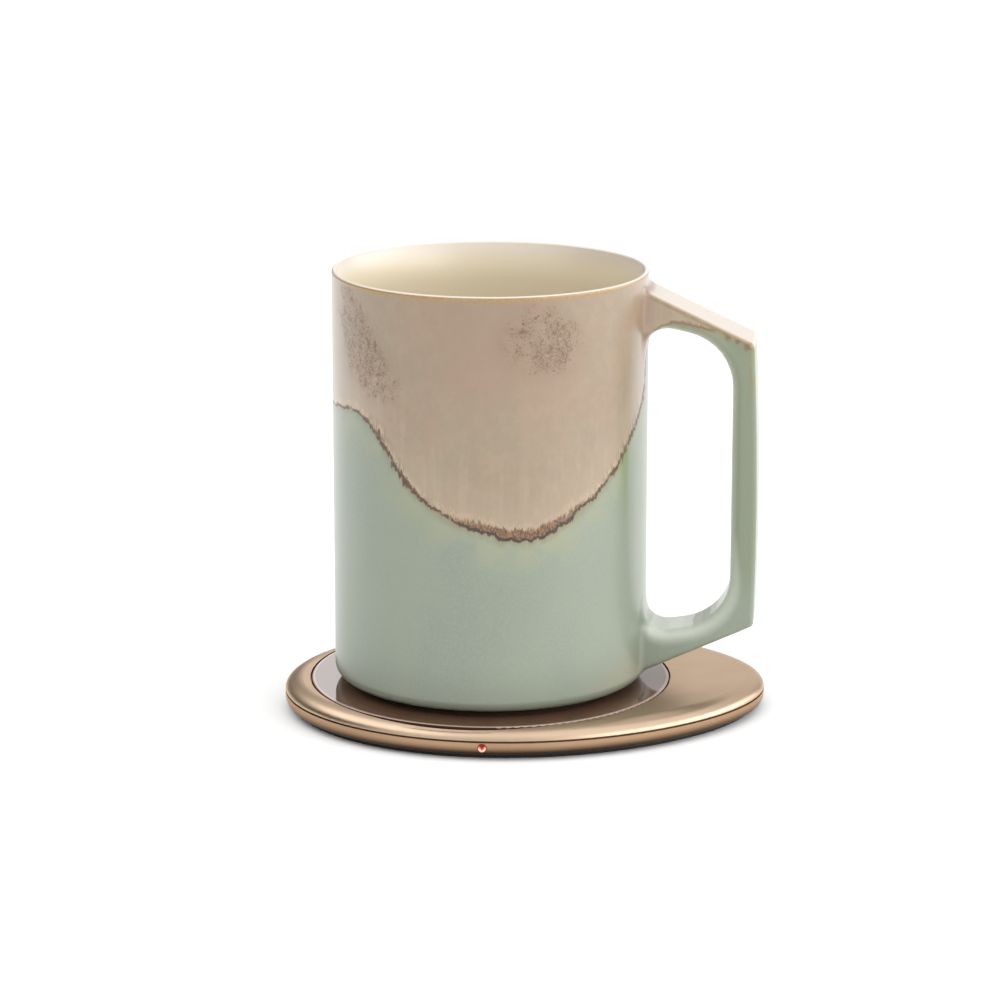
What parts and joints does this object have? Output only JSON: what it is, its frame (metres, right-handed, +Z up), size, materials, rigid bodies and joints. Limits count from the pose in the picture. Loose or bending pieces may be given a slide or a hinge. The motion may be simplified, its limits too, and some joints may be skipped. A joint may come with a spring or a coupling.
{
  "type": "self heating mug",
  "caption": "Straight ceramic mug with an angular handle, standing on an egg-shaped wireless heating pad with a round glass plate.",
  "frame": {"origin": "on the table under the mug's axis, in the middle of the glass plate's circle, on the silicone sheet's underside", "axes": "+X to the pad's narrow end and, nearly, to the handle; +Y to the power inlet at the back; +Z up the mug's axis"},
  "size_m": [0.1237, 0.0974, 0.1147],
  "materials": {
    "mug_glaze": "satin reactive glaze, beige over mint green",
    "film_metal": "thin rolled film",
    "mica": "pressed insulating sheet",
    "silicone_grey": "matte",
    "champagne_aluminium": "bead blasted and anodised",
    "gasket_dark": "matte",
    "painted_glass": "polished, painted behind",
    "adhesive_tape": "foam tape",
    "lamp_lens": "clear, lit from behind",
    "led_body": "moulded",
    "carrier_plastic": "moulded",
    "ferrite": "sintered",
    "copper": "enamelled wire",
    "foam_soft": "soft silicone foam",
    "chip_black": "moulded",
    "board_green": "solder mask",
    "capacitor_tan": "fired",
    "plated_steel": "nickel plated"
  },
  "bodies": {
    "pad": {"upper_shell": "champagne_aluminium", "lower_shell": "champagne_aluminium", "parting_gasket": "gasket_dark", "glass_plate": "painted_glass", "glass_adhesive_ring": "adhesive_tape", "led_light_pipe": "lamp_lens", "status_led": "led_body", "insulating_sheet": "mica", "coil_carrier": "carrier_plastic", "ferrite_disc": "ferrite", "coil_winding": "copper", "coil_leads": "copper", "coil_spacer": "foam_soft", "thermistor_post": "foam_soft", "thermistor": "chip_black", "main_board": "board_green", "controller_chip": "chip_black", "supply_chip": "chip_black", "power_inductor": "ferrite", "driver_mosfets": "chip_black", "resonant_capacitors": "capacitor_tan", "chip_passives": "capacitor_tan", "usb_c_receptacle": "plated_steel", "usb_c_insulator": "chip_black", "board_screws": "plated_steel", "housing_screws": "plated_steel", "base_pad": "silicone_grey"},
    "mug": {"mug_body": "mug_glaze", "mug_handle": "mug_glaze", "heating_film": "film_metal", "mica_disc": "mica", "base_cover": "silicone_grey"}
  },
  "joints": [
    {"name": "mug_lift", "type": "slide", "parent": "pad", "child": "mug", "axis": [0, 0, 1], "range_m": [0, 0.12]}
  ]
}
